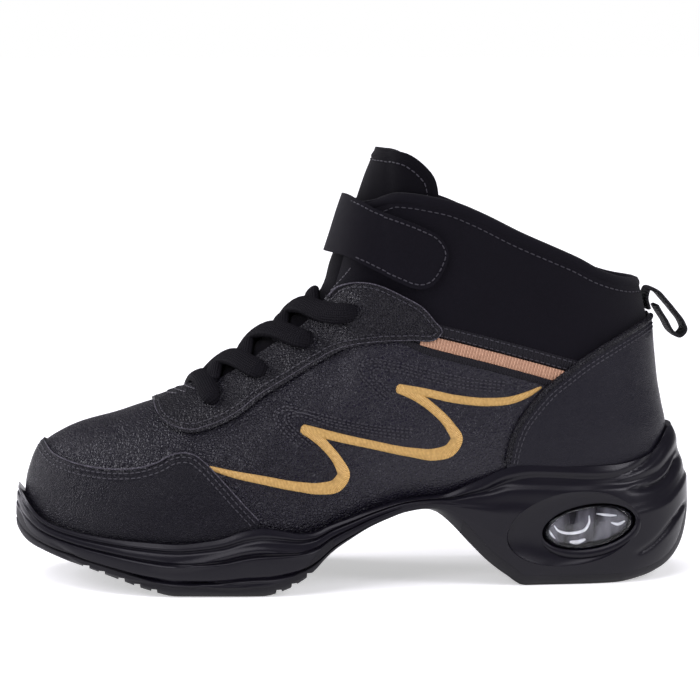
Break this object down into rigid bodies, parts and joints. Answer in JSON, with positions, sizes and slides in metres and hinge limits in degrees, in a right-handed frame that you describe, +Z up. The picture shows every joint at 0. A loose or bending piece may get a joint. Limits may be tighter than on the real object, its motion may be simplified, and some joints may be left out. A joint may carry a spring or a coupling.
{
  "type": "dance sneaker",
  "caption": "Black mid-top dance sneaker, left shoe, with padded collar, laced throat, ankle strap, raised arch and a split sole with a clear heel window.",
  "frame": {"origin": "on the ground, under the middle of the shoe's box", "axes": "+Z up, toe towards -X, heel towards +X, outer side of the foot towards -Y, inner side towards +Y"},
  "size_m": [0.264, 0.0988, 0.1678],
  "materials": {
    "upper_leather": "pebbled, semi-gloss",
    "overlay_leather": "pebbled, semi-gloss",
    "ribbon": "ribbed ribbon",
    "padded_fabric": "matt fabric",
    "webbing": "woven webbing",
    "lace": "flat woven lace",
    "insole_fabric": "matt fabric",
    "midsole_rubber": "satin moulded",
    "tread_rubber": "matt moulded",
    "clear_window": "clear, glossy"
  },
  "bodies": {
    "root": {"upper": "upper_leather", "toe_guard": "overlay_leather", "eyestay": "overlay_leather", "heel_counter": "overlay_leather", "ribbon_outer": "ribbon", "ribbon_inner": "ribbon", "tongue": "padded_fabric", "strap": "padded_fabric", "pull_loop": "webbing", "laces": "lace", "insole": "insole_fabric", "midsole": "midsole_rubber", "outsole_forefoot": "tread_rubber", "outsole_heel": "tread_rubber", "air_window": "clear_window"}
  },
  "joints": []
}
